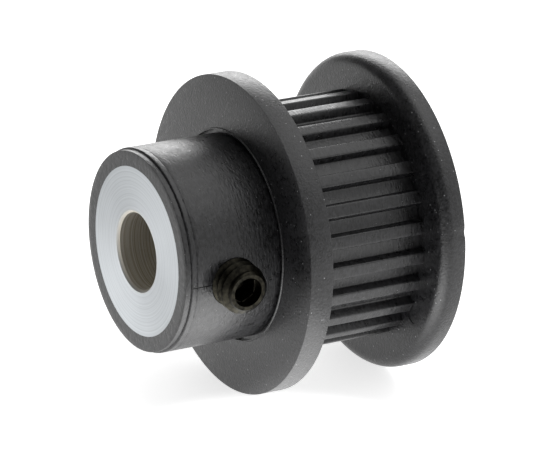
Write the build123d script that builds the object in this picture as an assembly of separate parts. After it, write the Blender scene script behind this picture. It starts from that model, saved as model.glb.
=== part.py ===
from build123d import *
import math
import os

# Timing belt pulley. The axis is Y, with the hub towards -Y.
# The origin is on the axis, midway between the flanges. The set screw lies along +X.

# Belt drive: 2.5 mm trapezoidal pitch
TEETH = 25
PITCH = 2.5
PITCH_LINE_OVER_TIP = 0.26
GROOVE_OPENING = 1.45
GROOVE_DEPTH = 0.75
GROOVE_FLOOR = 1.05
LAND_ROUND = 0.08
FACE_WIDTH = 9.75

# Flange discs
FLANGE_D = 25.0
FLANGE_T = 1.95
HUB_FLANGE_EDGE_ROUND = 0.10
END_FLANGE_LEAD_IN = 1.00
SPIGOT_D = 16.5
SPIGOT_RECESS = 0.25

# Hub sleeve
HUB_D = 15.9
HUB_LENGTH = 8.1
HUB_STEP_D = 15.6
HUB_STEP_LENGTH = 0.45
HUB_SHOULDER_ROUND = 0.07

# Aluminium insert
INSERT_D = 13.2
BORE_D = 6.0
BORE_CHAMFER = 0.20
LOCK_GROOVE_D = 12.0
LOCK_GROOVE_WIDTH = 2.0
SPLINES = 16
SPLINE_DEPTH = 0.40
SPLINE_WIDTH = 0.80

# M4 set screw, hexagon socket, cup point; the thread's crests are at the low end of their tolerance
SCREW_D = 3.85
SCREW_END_D = 2.90
SCREW_LENGTH = 6.0
SCREW_FROM_HUB_FACE = 4.15
SCREW_OUTER_END = 9.95
SCREW_HOLE_CLEARANCE = 0.03
SOCKET_ACROSS_FLATS = 2.0
SOCKET_DEPTH = 2.5
SOCKET_MOUTH_D = 2.36
CUP_RIM_D = 2.5
CUP_D = 2.0
CUP_DEPTH = 0.5

# Derived places
TIP_R = TEETH * PITCH / (2 * math.pi) - PITCH_LINE_OVER_TIP
FACE_END = FACE_WIDTH / 2
FLANGE_END = FACE_END + FLANGE_T
HUB_FACE = -(FLANGE_END + HUB_LENGTH)
SPIGOT_END = FLANGE_END - SPIGOT_RECESS
SCREW_Y = HUB_FACE + SCREW_FROM_HUB_FACE
SCREW_TIP = SCREW_OUTER_END - SCREW_LENGTH


# A solid turned about the pulley axis from (radius, y) corners
def turned(corners):
    outline = Polyline(*corners, close=True)
    return revolve(make_face(outline), Axis.Y)


# A plain ring between two radii and two stations on the axis
def ring(inner_r, outer_r, low_y, high_y):
    corners = [(inner_r, low_y), (outer_r, low_y), (outer_r, high_y), (inner_r, high_y)]
    return turned(corners)


# A rod along +X from the pulley axis, at the screw's station
def screw_rod(radius, start_x, end_x):
    rod = Cylinder(radius, end_x - start_x)
    return Pos((start_x + end_x) / 2, SCREW_Y, 0) * Rot(0, 90, 0) * rod


# Outside of the insert, with the groove and splines that lock it in the plastic
def insert_envelope():
    shape = turned([(0, HUB_FACE), (INSERT_D / 2, HUB_FACE), (INSERT_D / 2, FLANGE_END), (0, FLANGE_END)])
    shape -= ring(LOCK_GROOVE_D / 2, INSERT_D, -LOCK_GROOVE_WIDTH / 2, LOCK_GROOVE_WIDTH / 2)
    spline = Box(SPLINE_DEPTH * 2, FACE_WIDTH * 0.8, SPLINE_WIDTH)
    for i in range(SPLINES):
        angle = (i + 0.5) * 360 / SPLINES
        shape -= Rot(0, angle, 0) * Pos(INSERT_D / 2, 0, 0) * spline
    return shape


def insert_bush():
    bore_r = BORE_D / 2
    mouth_r = bore_r + BORE_CHAMFER
    bore = turned(
        [
            (0, HUB_FACE),
            (mouth_r, HUB_FACE),
            (bore_r, HUB_FACE + BORE_CHAMFER),
            (bore_r, FLANGE_END - BORE_CHAMFER),
            (mouth_r, FLANGE_END),
            (0, FLANGE_END),
        ]
    )
    return insert_envelope() - bore - screw_hole()


def screw_hole():
    return screw_rod(SCREW_D / 2 + SCREW_HOLE_CLEARANCE, 0, HUB_D)


# Cross-section of one belt groove, opening outwards along +X
def groove_outline():
    floor_r = TIP_R - GROOVE_DEPTH
    flank_slope = (GROOVE_OPENING - GROOVE_FLOOR) / 2 / GROOVE_DEPTH
    over_r = TIP_R + GROOVE_DEPTH
    over_half = GROOVE_FLOOR / 2 + flank_slope * 2 * GROOVE_DEPTH
    corners = [
        (floor_r, -GROOVE_FLOOR / 2),
        (over_r, -over_half),
        (over_r, over_half),
        (floor_r, GROOVE_FLOOR / 2),
    ]
    return make_face(Polyline(*corners, close=True))


# Toothed rim: a land lies on +X, in line with the set screw
def toothed_rim():
    section = Circle(TIP_R)
    groove = groove_outline()
    for i in range(TEETH):
        section -= Rot(0, 0, (i + 0.5) * 360 / TEETH) * groove
    tips = section.vertices().filter_by(lambda v: Vector(v.X, v.Y).length > TIP_R - GROOVE_DEPTH / 2)
    section = fillet(tips, LAND_ROUND)
    return extrude(Plane.XZ * section, FACE_END, both=True)


def toothed_body():
    shoulder = HUB_FACE + HUB_STEP_LENGTH
    sleeve = ring(0, HUB_D / 2, shoulder, 0)
    sleeve = fillet(sleeve.edges().group_by(Axis.Y)[0], HUB_SHOULDER_ROUND)
    hub = sleeve + ring(0, HUB_STEP_D / 2, HUB_FACE, 0)
    spigots = ring(0, SPIGOT_D / 2, -SPIGOT_END, SPIGOT_END)
    return hub + spigots + toothed_rim() - insert_envelope() - screw_hole()


# One flange disc, flat side at y = 0 and belt side at y = FLANGE_T
def flange_disc(lead_in):
    disc = ring(SPIGOT_D / 2, FLANGE_D / 2, 0, FLANGE_T)
    belt_side = disc.edges().group_by(Axis.Y)[-1]
    return fillet(belt_side.sort_by(SortBy.RADIUS)[-1], lead_in)


def hub_flange():
    return Pos(0, -FLANGE_END, 0) * flange_disc(HUB_FLANGE_EDGE_ROUND)


def end_flange():
    return Pos(0, FLANGE_END, 0) * mirror(flange_disc(END_FLANGE_LEAD_IN), Plane.XZ)


# Turned blank of the screw about its own axis Z, tip at z = 0
def screw_blank():
    r = SCREW_D / 2
    end_r = SCREW_END_D / 2
    bevel = r - end_r
    tip_r = CUP_RIM_D / 2
    corners = [
        (0, 0),
        (tip_r, 0),
        (r, r - tip_r),
        (r, SCREW_LENGTH - bevel),
        (end_r, SCREW_LENGTH),
        (0, SCREW_LENGTH),
    ]
    return revolve(Plane.XZ * make_face(Polyline(*corners, close=True)), Axis.Z)


def set_screw():
    corner_r = SOCKET_ACROSS_FLATS / 2 / math.cos(math.pi / 6)
    mouth_r = SOCKET_MOUTH_D / 2
    socket = extrude(RegularPolygon(corner_r, 6), SOCKET_DEPTH)
    socket = Pos(0, 0, SCREW_LENGTH - SOCKET_DEPTH) * socket
    lead = Pos(0, 0, SCREW_LENGTH - mouth_r / 2) * Cone(0, mouth_r, mouth_r)
    cup = Pos(0, 0, CUP_DEPTH / 2) * Cone(CUP_D / 2, 0, CUP_DEPTH)
    screw = screw_blank() - socket - lead - cup
    return Pos(SCREW_TIP, SCREW_Y, 0) * Rot(0, 90, 0) * screw


PIECES = {
    "insert_bush": insert_bush,
    "toothed_body": toothed_body,
    "hub_flange": hub_flange,
    "end_flange": end_flange,
    "set_screw": set_screw,
}

os.makedirs("parts", exist_ok=True)
for name, build in PIECES.items():
    export_step(build(), f"parts/{name}.step")
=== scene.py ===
import math

import bmesh
import bpy
from mathutils import Matrix, Vector


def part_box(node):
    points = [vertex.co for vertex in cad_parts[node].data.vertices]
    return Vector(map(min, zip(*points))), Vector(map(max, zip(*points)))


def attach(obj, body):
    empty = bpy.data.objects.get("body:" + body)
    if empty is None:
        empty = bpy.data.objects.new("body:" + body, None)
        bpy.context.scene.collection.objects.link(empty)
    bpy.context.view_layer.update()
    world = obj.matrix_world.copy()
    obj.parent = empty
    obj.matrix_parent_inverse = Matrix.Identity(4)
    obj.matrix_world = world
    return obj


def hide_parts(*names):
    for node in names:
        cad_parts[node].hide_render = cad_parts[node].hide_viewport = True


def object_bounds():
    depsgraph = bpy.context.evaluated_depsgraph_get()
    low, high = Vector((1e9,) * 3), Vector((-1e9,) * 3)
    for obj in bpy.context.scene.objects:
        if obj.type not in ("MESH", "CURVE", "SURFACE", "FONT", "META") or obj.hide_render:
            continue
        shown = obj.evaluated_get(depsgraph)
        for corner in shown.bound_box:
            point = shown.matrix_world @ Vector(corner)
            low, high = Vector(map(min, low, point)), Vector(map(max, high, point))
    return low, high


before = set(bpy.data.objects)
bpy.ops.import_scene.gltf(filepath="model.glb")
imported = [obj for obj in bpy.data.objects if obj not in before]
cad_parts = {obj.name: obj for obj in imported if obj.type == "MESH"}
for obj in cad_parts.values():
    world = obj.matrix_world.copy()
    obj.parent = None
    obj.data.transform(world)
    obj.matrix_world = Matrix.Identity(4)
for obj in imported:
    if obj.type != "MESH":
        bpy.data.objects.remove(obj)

cadLow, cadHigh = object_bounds()
mm = 0.001
fullTurn = 2 * math.pi
weld = 1e-7              # vertices closer than this are one

# places that the pieces share, from the CAD boxes
insertLow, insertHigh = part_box("insert_bush")
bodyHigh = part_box("toothed_body")[1]
hubFlangeLow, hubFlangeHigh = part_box("hub_flange")
endFlangeLow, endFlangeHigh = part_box("end_flange")
screwLow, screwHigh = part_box("set_screw")

hubFace = insertLow.y
farFace = insertHigh.y
insertRadius = insertHigh.x
toothTipRadius = bodyHigh.z
flangeRadius = hubFlangeHigh.x
screwRadius = screwHigh.z
screwStation = (screwLow.y + screwHigh.y) / 2


def startMesh(corners):
    # a closed outline in the XY plane: x is the radius, y runs along the pulley
    bm = bmesh.new()
    points = [bm.verts.new((x, y, 0)) for x, y in corners]
    for first, second in zip(points, points[1:] + points[:1]):
        bm.edges.new((first, second))
    return bm


def turnRound(bm, steps):
    # a full turn about the pulley's axis
    outline = bm.verts[:] + bm.edges[:]
    bmesh.ops.spin(bm, geom=outline, cent=(0, 0, 0), axis=(0, 1, 0), angle=fullTurn, steps=steps,
                   use_merge=True)
    bmesh.ops.remove_doubles(bm, verts=bm.verts, dist=weld)
    bmesh.ops.recalc_face_normals(bm, faces=bm.faces)


def splitLong(bm, longest):
    for edge in bm.edges[:]:
        cuts = math.ceil(edge.calc_length() / longest) - 1
        if cuts > 0:
            bmesh.ops.subdivide_edges(bm, edges=[edge], cuts=cuts)


def ringAt(bm, radius, station, slack=0.004 * mm):
    # the edges of the turned ring at that radius and station
    def onRing(vert):
        r = math.hypot(vert.co.x, vert.co.z)
        return abs(r - radius) < slack and abs(vert.co.y - station) < slack
    return [e for e in bm.edges if onRing(e.verts[0]) and onRing(e.verts[1])]


def roundRing(bm, radius, station, size, segments):
    edges = ringAt(bm, radius, station)
    bmesh.ops.bevel(bm, geom=edges, offset=size, offset_type="OFFSET", segments=segments,
                    profile=0.5, affect="EDGES", material=-1)


def finishMesh(name, bm, material, body, node, sharpAngle=32):
    bmesh.ops.remove_doubles(bm, verts=bm.verts, dist=weld)
    bmesh.ops.recalc_face_normals(bm, faces=bm.faces)
    for face in bm.faces:
        face.smooth = True
    for edge in bm.edges:
        edge.smooth = len(edge.link_faces) == 2 and edge.calc_face_angle(0) < math.radians(sharpAngle)
    mesh = bpy.data.meshes.new(name)
    bm.to_mesh(mesh)
    bm.free()
    piece = bpy.data.objects.new(name, mesh)
    bpy.context.scene.collection.objects.link(piece)
    mesh.materials.append(material)
    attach(piece, body)
    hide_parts(node)
    print(name, "made")
    return piece


def cutAway(bm, cutter):
    # takes the cutter's shape out of bm, and frees the cutter
    carved, tool = bpy.data.meshes.new("carved"), bpy.data.meshes.new("tool")
    bm.to_mesh(carved)
    cutter.to_mesh(tool)
    whole = bpy.data.objects.new("whole", carved)
    knife = bpy.data.objects.new("knife", tool)
    for part in (whole, knife):
        bpy.context.scene.collection.objects.link(part)
    boolean = whole.modifiers.new("cut", "BOOLEAN")
    boolean.operation = "DIFFERENCE"
    boolean.solver = "EXACT"
    boolean.object = knife
    bpy.context.view_layer.update()
    result = whole.evaluated_get(bpy.context.evaluated_depsgraph_get()).to_mesh()
    bm.clear()
    bm.from_mesh(result)
    cutter.free()
    bpy.data.objects.remove(whole)
    bpy.data.objects.remove(knife)


def rod(radius, start, end):
    # a rod along +X at the screw's station
    bm = bmesh.new()
    bmesh.ops.create_cone(bm, cap_ends=True, segments=64, radius1=radius, radius2=radius,
                          depth=end - start)
    bmesh.ops.rotate(bm, verts=bm.verts, cent=(0, 0, 0), matrix=Matrix.Rotation(math.pi / 2, 3, "Y"))
    bmesh.ops.translate(bm, verts=bm.verts, vec=((start + end) / 2, screwStation, 0))
    return bm


def hexColour(code):
    # sRGB hex to the linear colour that the shader reads
    values = [int(code[i:i + 2], 16) / 255 for i in (1, 3, 5)]
    linear = [v / 12.92 if v <= 0.04045 else ((v + 0.055) / 1.055) ** 2.4 for v in values]
    return (*linear, 1)


def addNode(tree, kind, settings=None, inputs=None):
    # settings are the node's own fields; an input takes a value, or (node, output) to link from
    node = tree.nodes.new(kind)
    for field, value in (settings or {}).items():
        setattr(node, field, value)
    for socket, value in (inputs or {}).items():
        if isinstance(value, tuple) and len(value) == 2 and isinstance(value[0], bpy.types.Node):
            tree.links.new(value[0].outputs[value[1]], node.inputs[socket])
        else:
            node.inputs[socket].default_value = value
    return node


def newMaterial(name):
    material = bpy.data.materials.new(name)
    material.use_nodes = True
    tree = material.node_tree
    return material, tree, tree.nodes["Principled BSDF"]


def ramp(tree, source, low, high, lowColour, highColour):
    node = addNode(tree, "ShaderNodeMapRange", {"clamp": True}, {
        "Value": source, "From Min": low, "From Max": high, "To Min": 0.0, "To Max": 1.0})
    mix = addNode(tree, "ShaderNodeMix", {"data_type": "RGBA"}, {"Factor": (node, "Result")})
    mix.inputs["A"].default_value = lowColour
    mix.inputs["B"].default_value = highColour
    return mix


# Black glass-filled polycarbonate, injection moulded: satin, mottled and dotted where fibres reach the skin
plasticLook = {
    "dark": "#070708",
    "light": "#2A2A2C",
    "fleck": "#8E8E90",
    "roughLow": 0.24,
    "roughHigh": 0.40,
    "ior": 1.56,
    "mottleSize": 0.45 * mm,
    "fibreSize": 0.17 * mm,        # real fibres are 0.01 mm thick, drawn coarser so that they show
    "bumpHeight": 0.034 * mm,
    "fleckSize": 0.62 * mm,
    "shadeRange": (0.62, 0.95),     # of mottle and fibre together, from dark to light
    "shadeMottle": 0.5,             # the mottle's share in the shade
    "bumpMottle": 0.35,             # and in the bump
    "roughRange": (0.3, 0.7),       # of the mottle, from the low roughness to the high
}


def mouldedPolycarbonate(name, streaks, flecks):
    # streaks: the grain runs longer where this is under 1; flecks: the radius of a fleck, in cells
    look = plasticLook
    material, tree, shader = newMaterial(name)
    place = addNode(tree, "ShaderNodeTexCoord")
    grain = addNode(tree, "ShaderNodeMapping", None, {"Vector": (place, "Object"), "Scale": streaks})
    mottle = addNode(tree, "ShaderNodeTexNoise", None, {
        "Vector": (place, "Object"), "Scale": 1 / look["mottleSize"], "Detail": 4.0, "Roughness": 0.65})
    fibre = addNode(tree, "ShaderNodeTexNoise", None, {
        "Vector": (grain, "Vector"), "Scale": 1 / look["fibreSize"], "Detail": 2.0, "Roughness": 0.6})
    specks = addNode(tree, "ShaderNodeTexVoronoi", {"feature": "F1"}, {
        "Vector": (place, "Object"), "Scale": 1 / look["fleckSize"]})
    fleck = addNode(tree, "ShaderNodeMapRange", {"clamp": True}, {
        "Value": (specks, "Distance"), "From Min": flecks, "From Max": flecks * 2,
        "To Min": 1.0, "To Max": 0.0})
    blend = addNode(tree, "ShaderNodeMath", {"operation": "MULTIPLY_ADD"}, {
        0: (mottle, "Fac"), 1: look["shadeMottle"], 2: (fibre, "Fac")})
    colour = ramp(tree, (blend, "Value"), *look["shadeRange"],
                  hexColour(look["dark"]), hexColour(look["light"]))
    dotted = addNode(tree, "ShaderNodeMix", {"data_type": "RGBA"}, {"Factor": (fleck, "Result")})
    tree.links.new(colour.outputs["Result"], dotted.inputs["A"])
    dotted.inputs["B"].default_value = hexColour(look["fleck"])
    rough = addNode(tree, "ShaderNodeMapRange", None, {
        "Value": (mottle, "Fac"), "From Min": look["roughRange"][0], "From Max": look["roughRange"][1],
        "To Min": look["roughLow"], "To Max": look["roughHigh"]})
    height = addNode(tree, "ShaderNodeMath", {"operation": "MULTIPLY_ADD"}, {
        0: (mottle, "Fac"), 1: look["bumpMottle"], 2: (fibre, "Fac")})
    bump = addNode(tree, "ShaderNodeBump", None, {
        "Height": (height, "Value"), "Strength": 1.0, "Distance": look["bumpHeight"]})
    tree.links.new(dotted.outputs["Result"], shader.inputs["Base Color"])
    tree.links.new(rough.outputs["Result"], shader.inputs["Roughness"])
    tree.links.new(bump.outputs["Normal"], shader.inputs["Normal"])
    shader.inputs["IOR"].default_value = look["ior"]
    return material


# Aluminium bar, faced and bored on a lathe: pale grey with fine feed marks, duller and warmer in the bore
aluminiumLook = {
    "face": "#C6CACD",
    "faceMark": "#B6BABD",
    "bore": "#F0EEEA",
    "boreStain": "#C9C2B2",
    "faceRough": 0.30,
    "boreRough": 0.55,
    "boreRadius": 3.0 * mm,
    "feed": 0.13 * mm,             # real feed marks are about 0.05 mm, drawn wider so that they show
    "markHeight": 0.007 * mm,
    "boreMarkHeight": 0.014 * mm,
    "anisotropy": 0.7,             # light streams across the feed marks
    "boreFade": (0.05 * mm, 0.30 * mm),    # past the bore's radius, where its look gives way to the face's
    "stainRange": (0.40, 0.60),    # of the feed marks, from stain to bore
    "ringRange": (0.35, 0.62),     # of the feed marks, from mark to face
    "cloudSize": 2.0 * mm,
    "cloudRough": 0.12,            # roughness that the clouds add
}


def turnedAluminium(name):
    look = aluminiumLook
    material, tree, shader = newMaterial(name)
    place = addNode(tree, "ShaderNodeTexCoord")
    parts = addNode(tree, "ShaderNodeSeparateXYZ", None, {"Vector": (place, "Object")})
    flat = addNode(tree, "ShaderNodeCombineXYZ", None, {"X": (parts, "X"), "Y": 0.0, "Z": (parts, "Z")})
    radius = addNode(tree, "ShaderNodeVectorMath", {"operation": "LENGTH"}, {0: (flat, "Vector")})
    outside = addNode(tree, "ShaderNodeMapRange", {"clamp": True}, {
        "Value": (radius, "Value"), "From Min": look["boreRadius"] + look["boreFade"][0],
        "From Max": look["boreRadius"] + look["boreFade"][1], "To Min": 0.0, "To Max": 1.0})
    # radius plus station: rings on the faces, and rings along the bore
    run = addNode(tree, "ShaderNodeMath", {"operation": "ADD"}, {0: (radius, "Value"), 1: (parts, "Y")})
    marks = addNode(tree, "ShaderNodeTexNoise", {"noise_dimensions": "1D"}, {
        "W": (run, "Value"), "Scale": 1 / look["feed"], "Detail": 4.0, "Roughness": 0.7})
    cloud = addNode(tree, "ShaderNodeTexNoise", None, {
        "Vector": (place, "Object"), "Scale": 1 / look["cloudSize"], "Detail": 5.0, "Roughness": 0.6})
    colour = addNode(tree, "ShaderNodeMix", {"data_type": "RGBA"}, {"Factor": (outside, "Result")})
    stain = ramp(tree, (marks, "Fac"), *look["stainRange"],
                 hexColour(look["boreStain"]), hexColour(look["bore"]))
    ringed = ramp(tree, (marks, "Fac"), *look["ringRange"],
                  hexColour(look["faceMark"]), hexColour(look["face"]))
    tree.links.new(stain.outputs["Result"], colour.inputs["A"])
    tree.links.new(ringed.outputs["Result"], colour.inputs["B"])
    # the tangent runs round the axis, along the feed marks
    away = addNode(tree, "ShaderNodeMath", {"operation": "MULTIPLY"}, {0: (parts, "X"), 1: -1.0})
    along = addNode(tree, "ShaderNodeCombineXYZ", None, {"X": (parts, "Z"), "Y": 0.0, "Z": (away, "Value")})
    tree.links.new(along.outputs["Vector"], shader.inputs["Tangent"])
    shader.inputs["Anisotropic"].default_value = look["anisotropy"]
    finish = addNode(tree, "ShaderNodeMapRange", None, {
        "Value": (outside, "Result"), "To Min": look["boreRough"], "To Max": look["faceRough"]})
    rough = addNode(tree, "ShaderNodeMath", {"operation": "MULTIPLY_ADD"}, {
        0: (cloud, "Fac"), 1: look["cloudRough"], 2: (finish, "Result")})
    depth = addNode(tree, "ShaderNodeMapRange", None, {
        "Value": (outside, "Result"), "To Min": look["boreMarkHeight"], "To Max": look["markHeight"]})
    bump = addNode(tree, "ShaderNodeBump", None, {
        "Height": (marks, "Fac"), "Strength": 1.0, "Distance": (depth, "Result")})
    tree.links.new(colour.outputs["Result"], shader.inputs["Base Color"])
    tree.links.new(rough.outputs["Value"], shader.inputs["Roughness"])
    tree.links.new(bump.outputs["Normal"], shader.inputs["Normal"])
    shader.inputs["Metallic"].default_value = 1.0
    return material


# Alloy steel with a black oxide finish: nearly black, faintly brown, oiled
oxideLook = {
    "dark": "#191815",
    "light": "#34322B",
    "roughness": 0.36,
    "patchSize": 0.35 * mm,
    "patchRange": (0.35, 0.65),     # of the patches, from dark to light
    "bumpHeight": 0.004 * mm,
}


def blackOxideSteel(name):
    look = oxideLook
    material, tree, shader = newMaterial(name)
    place = addNode(tree, "ShaderNodeTexCoord")
    patches = addNode(tree, "ShaderNodeTexNoise", None, {
        "Vector": (place, "Object"), "Scale": 1 / look["patchSize"], "Detail": 4.0, "Roughness": 0.6})
    colour = ramp(tree, (patches, "Fac"), *look["patchRange"],
                  hexColour(look["dark"]), hexColour(look["light"]))
    bump = addNode(tree, "ShaderNodeBump", None, {
        "Height": (patches, "Fac"), "Strength": 1.0, "Distance": look["bumpHeight"]})
    tree.links.new(colour.outputs["Result"], shader.inputs["Base Color"])
    tree.links.new(bump.outputs["Normal"], shader.inputs["Normal"])
    shader.inputs["Metallic"].default_value = 1.0
    shader.inputs["Roughness"].default_value = look["roughness"]
    return material


bodyPlastic = mouldedPolycarbonate("mouldedPolycarbonateBody", (0.4, 1.0, 0.4), 0.028)
flangePlastic = mouldedPolycarbonate("mouldedPolycarbonateFlange", (1.0, 1.0, 1.0), 0.050)
insertMetal = turnedAluminium("turnedAluminium")
screwMetal = blackOxideSteel("blackOxideSteel")
print("materials made")

insert = {
    "boreRadius": 3.0 * mm,
    "mouthChamfer": 0.20 * mm,
    "screwClearance": 0.03 * mm,
    "longestEdge": 0.6 * mm,
    "steps": 192,
}
screwHoleRadius = screwRadius + insert["screwClearance"]


def makeInsert():
    bore, mouth = insert["boreRadius"], insert["boreRadius"] + insert["mouthChamfer"]
    bm = startMesh([
        (mouth, hubFace), (insertRadius, hubFace), (insertRadius, farFace), (mouth, farFace),
        (bore, farFace - insert["mouthChamfer"]), (bore, hubFace + insert["mouthChamfer"]),
    ])
    splitLong(bm, insert["longestEdge"])
    turnRound(bm, insert["steps"])
    cutAway(bm, rod(screwHoleRadius, 0, insertRadius + mm))
    piece = finishMesh("insertBush", bm, insertMetal, "pulley", "insert_bush")


hub = {
    "faceRadius": 7.80 * mm,        # the face is cut back a little behind the sleeve
    "stepLength": 0.45 * mm,
    "radius": 7.95 * mm,
    "faceRound": 0.03 * mm,
    "shoulderSlope": 0.05 * mm,
    "shoulderRound": 0.07 * mm,
    "lineStation": 0.95 * mm,       # fine witness line left by the mould
    "lineHalf": 0.05 * mm,
    "lineDepth": 0.02 * mm,
    "spigotRadius": 8.25 * mm,
    "partingHeight": 0.12 * mm,
    "partingWidth": 0.09 * mm,
    "partingDepth": 0.06 * mm,
    "partingOverlap": (0.1 * mm, 0.3 * mm),    # past the shoulder, and into the screw's hole
    "longestEdge": 0.4 * mm,
    "steps": 256,
}
spigotEnd = bodyHigh.y


def partingLine():
    # a hair of a groove along the hub, from the shoulder to the screw hole
    start = hubFace + hub["stepLength"] - hub["partingOverlap"][0]
    end = screwStation - screwHoleRadius + hub["partingOverlap"][1]
    bm = bmesh.new()
    bmesh.ops.create_cube(bm, size=1)
    bmesh.ops.scale(bm, verts=bm.verts, vec=(mm, end - start, hub["partingWidth"]))
    bmesh.ops.translate(bm, verts=bm.verts, vec=(
        hub["radius"] - hub["partingDepth"] + mm / 2, (start + end) / 2, hub["partingHeight"]))
    return bm


def makeHub():
    shoulder = hubFace + hub["stepLength"]
    line = hubFace + hub["lineStation"]
    lineHalf = hub["lineHalf"]
    bm = startMesh([
        (insertRadius, hubFace), (hub["faceRadius"], hubFace), (hub["faceRadius"], shoulder),
        (hub["radius"], shoulder + hub["shoulderSlope"]), (hub["radius"], line - lineHalf),
        (hub["radius"] - hub["lineDepth"], line), (hub["radius"], line + lineHalf),
        (hub["radius"], -spigotEnd), (hub["spigotRadius"], -spigotEnd),
        (hub["spigotRadius"], spigotEnd), (insertRadius, spigotEnd),
    ])
    splitLong(bm, hub["longestEdge"])
    turnRound(bm, hub["steps"])
    roundRing(bm, hub["faceRadius"], hubFace, hub["faceRound"], 2)
    roundRing(bm, hub["radius"], shoulder + hub["shoulderSlope"], hub["shoulderRound"], 3)
    cutAway(bm, rod(screwHoleRadius, insertRadius - mm, hub["radius"] + mm))
    cutAway(bm, partingLine())
    piece = finishMesh("hubSleeve", bm, bodyPlastic, "pulley", "toothed_body")


rim = {
    "teeth": 25,
    "opening": 1.45 * mm,
    "floor": 1.05 * mm,
    "depth": 0.75 * mm,
    "tipRound": 0.10 * mm,
    "footRound": 0.10 * mm,
    "overlap": 0.1 * mm,            # how far the rim reaches into the hub sleeve's spigots
}
toothEndHalf = endFlangeLow.y


def makeToothedRim():
    pitchAngle = fullTurn / rim["teeth"]
    tip, foot = toothTipRadius, toothTipRadius - rim["depth"]
    inner = hub["spigotRadius"] - rim["overlap"]
    landHalf = pitchAngle / 2 - rim["opening"] / 2 / tip
    floorHalf = rim["floor"] / 2 / foot
    # one pitch, from mid-groove to mid-groove, as (angle, radius)
    outline = [(-pitchAngle / 2, foot * math.cos(floorHalf)), (-pitchAngle / 2 + floorHalf, foot)]
    outline += [(landHalf * i / 2, tip) for i in range(-2, 3)]
    outline += [(pitchAngle / 2 - floorHalf, foot), (pitchAngle / 2, foot * math.cos(floorHalf))]
    outline += [(pitchAngle * i / 4, inner) for i in range(2, -3, -1)]
    bm = bmesh.new()
    points = [bm.verts.new((r * math.cos(a), -toothEndHalf, r * math.sin(a))) for a, r in outline]
    bm.faces.new(points)
    rounds = ((2, "tipRound"), (6, "tipRound"), (1, "footRound"), (7, "footRound"))
    for corner, key in rounds:
        bmesh.ops.bevel(bm, geom=[points[corner]], offset=rim[key], offset_type="OFFSET", segments=3,
                        profile=0.5, affect="VERTICES", material=-1)
    bmesh.ops.spin(bm, geom=bm.faces[:] + bm.edges[:] + bm.verts[:], cent=(0, 0, 0), axis=(0, 1, 0),
                   angle=fullTurn * (rim["teeth"] - 1) / rim["teeth"], steps=rim["teeth"] - 1,
                   use_duplicate=True)
    bmesh.ops.remove_doubles(bm, verts=bm.verts, dist=weld)
    result = bmesh.ops.extrude_face_region(bm, geom=bm.faces[:], use_keep_orig=True)
    raised = [v for v in result["geom"] if isinstance(v, bmesh.types.BMVert)]
    bmesh.ops.translate(bm, verts=raised, vec=(0, 2 * toothEndHalf, 0))
    piece = finishMesh("toothedRim", bm, bodyPlastic, "pulley", "toothed_body", 40)


flange = {
    "bore": hub["spigotRadius"],
    "boreEdge": 0.06 * mm,
    "lipHeight": 0.09 * mm,         # the hub flange's bore has a thin raised lip
    "lipWidth": 0.12 * mm,
    "lipSlope": 0.04 * mm,
    "outerEdge": 0.04 * mm,
    "steps": 320,
    "markRadius": 0.80 * mm,        # ejector pin marks on the belt side of the end flange
    "markPlace": 10.2 * mm,
    "markDepth": 0.05 * mm,
    "markAngles": (60, 150, 240, 330),
    "dentReach": 0.45 * mm,         # one knock on the outer edge of each rim
    "dentDepth": 0.10 * mm,
}
# each flange: outer side, belt side, round on the belt side, and the angle of its knock
hubFlangeForm = (hubFlangeLow.y, hubFlangeHigh.y, 0.10 * mm, 22)
endFlangeForm = (endFlangeHigh.y, endFlangeLow.y, 1.00 * mm, 13)


def around(angle, radius, station):
    turn = math.radians(angle)
    return Vector((radius * math.cos(turn), station, radius * math.sin(turn)))


def makeFlange(name, node, form, pinMarks):
    # the hub flange has the lip, and the end flange the pin marks
    outside, beltSide, beltRound, dentAngle = form
    bore = flange["bore"]
    if pinMarks:
        mouth = [(bore, outside)]
    else:
        lipTop = outside - flange["lipHeight"]
        lipFoot = bore + flange["lipWidth"]
        mouth = [(bore, lipTop), (lipFoot - flange["lipSlope"], lipTop), (lipFoot, outside)]
    bm = startMesh(mouth + [(flangeRadius, outside), (flangeRadius, beltSide), (bore, beltSide)])
    turnRound(bm, flange["steps"])
    roundRing(bm, flangeRadius, beltSide, beltRound, 10)
    roundRing(bm, flangeRadius, outside, flange["outerEdge"], 2)
    if pinMarks:
        roundRing(bm, bore, outside, flange["boreEdge"], 3)
    spot = around(dentAngle, flangeRadius, outside)
    for vert in bm.verts:
        near = 1 - (vert.co - spot).length / flange["dentReach"]
        if near > 0:
            vert.co -= spot.normalized() * flange["dentDepth"] * near
    for angle in flange["markAngles"] if pinMarks else ():
        pin = bmesh.new()
        bmesh.ops.create_cone(pin, cap_ends=True, segments=48, radius1=flange["markRadius"],
                              radius2=flange["markRadius"], depth=2 * flange["markDepth"])
        bmesh.ops.rotate(pin, verts=pin.verts, cent=(0, 0, 0), matrix=Matrix.Rotation(math.pi / 2, 3, "X"))
        bmesh.ops.translate(pin, verts=pin.verts, vec=around(angle, flange["markPlace"], beltSide))
        cutAway(bm, pin)
    piece = finishMesh(name, bm, flangePlastic, "pulley", node)


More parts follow.
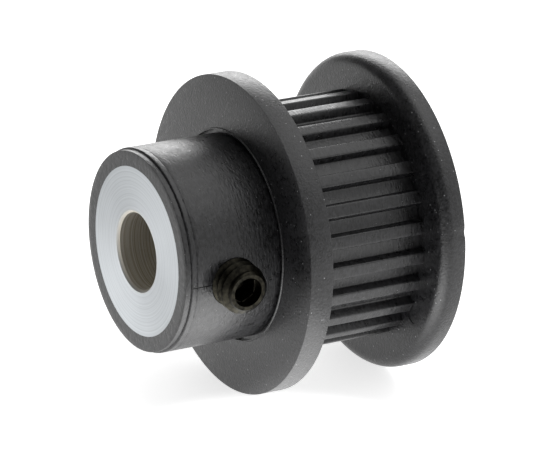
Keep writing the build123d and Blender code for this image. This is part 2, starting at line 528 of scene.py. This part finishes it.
screw = {
    "pitch": 0.70 * mm,
    "crest": 0.0875 * mm,
    "rootFlat": 0.1165 * mm,
    "rootRadius": 1.52 * mm,
    "endRadius": 1.45 * mm,
    "tipRadius": 1.25 * mm,
    "socketHalf": 1.0 * mm,         # half of the 2 mm across flats
    "mouthRadius": 1.16 * mm,
    "mouthDepth": 0.90 * mm,        # round counterbore over the hexagon's corners
    "socketDepth": 2.5 * mm,
    "cupRadius": 1.0 * mm,
    "cupDepth": 0.5 * mm,
    "mouthStep": 0.02 * mm,         # from the counterbore in to the hexagon
    "drillDepth": 0.35 * mm,        # cone at the bottom of the socket
    "coneTip": 0.05 * mm,           # radius at which both cones are closed
    "weld": 5e-7,
    "startTurns": 1.2,              # how far the thread starts before the tip, in turns
    "steps": 96,
}


def makeScrew():
    length = screwHigh.x - screwLow.x
    pitch, root, crest = screw["pitch"], screw["rootRadius"], screwRadius
    flank = (pitch - screw["crest"] - screw["rootFlat"]) / 2
    # one pitch of the thread's outline along X, then a spin that climbs one pitch a turn
    bm = bmesh.new()
    stations = [0, screw["rootFlat"], screw["rootFlat"] + flank, pitch - flank, pitch]
    radii = [root, root, crest, crest, root]
    points = [bm.verts.new((x, 0, r)) for x, r in zip(stations, radii)]
    for first, second in zip(points, points[1:]):
        bm.edges.new((first, second))
    turns = math.ceil(length / pitch) + 2
    steps = screw["steps"]
    bmesh.ops.spin(bm, geom=bm.verts[:] + bm.edges[:], cent=(0, 0, 0), axis=(1, 0, 0),
                   dvec=(pitch / steps, 0, 0), angle=fullTurn * turns, steps=steps * turns)
    bmesh.ops.remove_doubles(bm, verts=bm.verts, dist=screw["weld"])
    bmesh.ops.translate(bm, verts=bm.verts, vec=(-screw["startTurns"] * pitch, 0, 0))
    # cut square, then draw both ends in to their cones
    for station, normal in ((0, (-1, 0, 0)), (length, (1, 0, 0))):
        bmesh.ops.bisect_plane(bm, geom=bm.verts[:] + bm.edges[:] + bm.faces[:], plane_co=(station, 0, 0),
                               plane_no=normal, clear_outer=True)
    for vert in bm.verts:
        r = math.hypot(vert.co.y, vert.co.z)
        allowed = min(screw["endRadius"] + (length - vert.co.x), screw["tipRadius"] + vert.co.x)
        if r > allowed:
            vert.co.y *= allowed / r
            vert.co.z *= allowed / r
    closeSocket(bm, length)
    closeCup(bm)
    bmesh.ops.translate(bm, verts=bm.verts, vec=(screwLow.x, screwStation, 0))
    piece = finishMesh("setScrew", bm, screwMetal, "screw", "set_screw", 28)


def endLoop(bm, station):
    return [e for e in bm.edges if e.is_boundary and all(abs(v.co.x - station) < 1e-6 for v in e.verts)]


def drawLoop(bm, edges, station, radiusAt):
    # extrudes a loop and sets the new ring's station and radius, as a function of its angle
    result = bmesh.ops.extrude_edge_only(bm, edges=edges)
    ring = [v for v in result["geom"] if isinstance(v, bmesh.types.BMVert)]
    for vert in ring:
        angle = math.atan2(vert.co.z, vert.co.y)
        vert.co = Vector((station, radiusAt(angle) * math.cos(angle), radiusAt(angle) * math.sin(angle)))
    drawn = [e for e in result["geom"] if isinstance(e, bmesh.types.BMEdge)]
    return [e for e in drawn if e.verts[0] in ring and e.verts[1] in ring]


def closeSocket(bm, station):
    mouth, step = screw["mouthRadius"], screw["mouthStep"]
    ledge, floor = station - screw["mouthDepth"], station - screw["socketDepth"]

    def hexagon(angle):
        return screw["socketHalf"] / math.cos((angle + math.pi / 6) % (math.pi / 3) - math.pi / 6)

    edges = endLoop(bm, station)
    edges = drawLoop(bm, edges, station, lambda a: mouth)
    edges = drawLoop(bm, edges, ledge, lambda a: mouth - step)
    edges = drawLoop(bm, edges, ledge - step, hexagon)
    edges = drawLoop(bm, edges, floor, hexagon)
    edges = drawLoop(bm, edges, floor - screw["drillDepth"], lambda a: screw["coneTip"])
    bmesh.ops.contextual_create(bm, geom=edges)


def closeCup(bm):
    edges = endLoop(bm, 0)
    edges = drawLoop(bm, edges, 0, lambda a: screw["cupRadius"])
    edges = drawLoop(bm, edges, screw["cupDepth"], lambda a: screw["coneTip"])
    bmesh.ops.contextual_create(bm, geom=edges)


makeInsert()
makeHub()
makeToothedRim()
makeFlange("hubFlange", "hub_flange", hubFlangeForm, False)
makeFlange("endFlange", "end_flange", endFlangeForm, True)
makeScrew()
print("all pieces made")

studio = {
    "floorColour": "#F6F6F6",
    "floorGlow": 0.72,              # a light table: lit from below, so shadows stay faint
    "paintedShadeGlow": 0.26,               # painted shade: the table glows dimmer past a soft edge towards the front left, where the floor would lie in the pulley's shadow
    "paintedShadeEdge": (-50 * mm, -21 * mm),
    "paintedShadeTurn": 60,                # degrees from +X to the direction across that edge
    "paintedPoolGlow": 2.6,                # painted pool of light: the table glows brighter in front of the pulley, standing in for lamp light falling there
    "poolPlace": (18 * mm, -10 * mm),
    "poolReach": (6 * mm, 17 * mm),
    "floorSize": 1.2,
    "floorRough": 0.9,
    "frontGlow": 0.15,              # the room in front of the pulley, towards -Y
    "backGlow": 0.9,                # the white sweep behind it
    "sweepRange": (-0.35, 0.45),    # from the front glow to the back's, by how far a direction points to +Y
    "softboxes": {
        # name: place, size, power in watts
        "backSoftbox": ((-0.36, 0.17, 0.15), (0.34, 0.24), 0.85),
        "topSoftbox": ((0.05, 0.12, 0.45), (0.50, 0.50), 0.55),
    },
}


def makeFloor():
    bm = bmesh.new()
    bmesh.ops.create_grid(bm, x_segments=1, y_segments=1, size=studio["floorSize"] / 2)
    bmesh.ops.translate(bm, verts=bm.verts, vec=(0, 0, cadLow.z))
    mesh = bpy.data.meshes.new("floor")
    bm.to_mesh(mesh)
    bm.free()
    floor = bpy.data.objects.new("floor", mesh)
    bpy.context.scene.collection.objects.link(floor)
    material, tree, shader = newMaterial("palePaperPaintedGlow")
    shader.inputs["Base Color"].default_value = hexColour(studio["floorColour"])
    shader.inputs["Roughness"].default_value = studio["floorRough"]
    shader.inputs["Emission Color"].default_value = (1, 1, 1, 1)
    place = addNode(tree, "ShaderNodeTexCoord")
    turn = addNode(tree, "ShaderNodeMapping", None, {
        "Vector": (place, "Object"), "Rotation": (0, 0, -math.radians(studio["paintedShadeTurn"]))})
    across = addNode(tree, "ShaderNodeSeparateXYZ", None, {"Vector": (turn, "Vector")})
    # painted shade: the glow fades to the dimmer value past the soft edge towards the front left
    glow = addNode(tree, "ShaderNodeMapRange", {"interpolation_type": "SMOOTHSTEP"}, {
        "Value": (across, "X"), "From Min": studio["paintedShadeEdge"][0], "From Max": studio["paintedShadeEdge"][1],
        "To Min": studio["paintedShadeGlow"], "To Max": studio["floorGlow"]})
    # painted pool of light: the floor's glow rises round this spot in front of the pulley
    spot = addNode(tree, "ShaderNodeVectorMath", {"operation": "DISTANCE"}, {
        0: (place, "Object"), 1: (*studio["poolPlace"], cadLow.z)})
    pool = addNode(tree, "ShaderNodeMapRange", {"interpolation_type": "SMOOTHSTEP"}, {
        "Value": (spot, "Value"), "From Min": studio["poolReach"][0], "From Max": studio["poolReach"][1],
        "To Min": studio["paintedPoolGlow"], "To Max": 0.0})
    total = addNode(tree, "ShaderNodeMath", {"operation": "ADD"}, {0: (glow, "Result"), 1: (pool, "Result")})
    tree.links.new(total.outputs["Value"], shader.inputs["Emission Strength"])
    mesh.materials.append(material)


def makeWorld():
    world = bpy.data.worlds.new("studioWorld")
    bpy.context.scene.world = world
    world.use_nodes = True
    tree = world.node_tree
    direction = addNode(tree, "ShaderNodeTexCoord")
    parts = addNode(tree, "ShaderNodeSeparateXYZ", None, {"Vector": (direction, "Generated")})
    glow = addNode(tree, "ShaderNodeMapRange", {"interpolation_type": "SMOOTHSTEP"}, {
        "Value": (parts, "Y"), "From Min": studio["sweepRange"][0], "From Max": studio["sweepRange"][1],
        "To Min": studio["frontGlow"], "To Max": studio["backGlow"]})
    tree.links.new(glow.outputs["Result"], tree.nodes["Background"].inputs["Strength"])
    tree.nodes["Background"].inputs["Color"].default_value = (1, 1, 1, 1)


def makeSoftbox(name, place, size, power):
    light = bpy.data.lights.new(name, "AREA")
    light.shape = "RECTANGLE"
    light.size, light.size_y = size
    light.energy = power
    lamp = bpy.data.objects.new(name, light)
    lamp.location = place
    lamp.rotation_euler = (-Vector(place)).to_track_quat("-Z", "Y").to_euler()
    bpy.context.scene.collection.objects.link(lamp)


view = {
    "azimuth": 58.63,
    "elevation": 23.51,
    "roll": 3.48,
    "distance": 353.83 * mm,
    "aim": (-1.25 * mm, -2.41 * mm, -0.43 * mm),
    "lens": 303.5,
    "sensor": 36,
    "clip": (0.01, 10),
}


def makeCamera():
    a, e, roll = (math.radians(view[key]) for key in ("azimuth", "elevation", "roll"))
    forward = Vector((-math.sin(a) * math.cos(e), math.cos(a) * math.cos(e), -math.sin(e)))
    level = Vector((math.cos(a), math.sin(a), 0))
    right = Matrix.Rotation(-roll, 3, forward) @ level
    up = right.cross(forward)
    camera = bpy.data.cameras.new("camera")
    camera.lens = view["lens"]
    camera.sensor_width = view["sensor"]
    camera.clip_start, camera.clip_end = view["clip"]
    rig = bpy.data.objects.new("camera", camera)
    turn = Matrix((right, up, -forward)).transposed()
    rig.matrix_world = Matrix.Translation(Vector(view["aim"]) - forward * view["distance"]) @ turn.to_4x4()
    bpy.context.scene.collection.objects.link(rig)
    bpy.context.scene.camera = rig


makeFloor()
makeWorld()
for name, (place, size, power) in studio["softboxes"].items():
    makeSoftbox(name, place, size, power)
makeCamera()
bpy.context.scene.view_settings.view_transform = "Standard"
print("studio made")
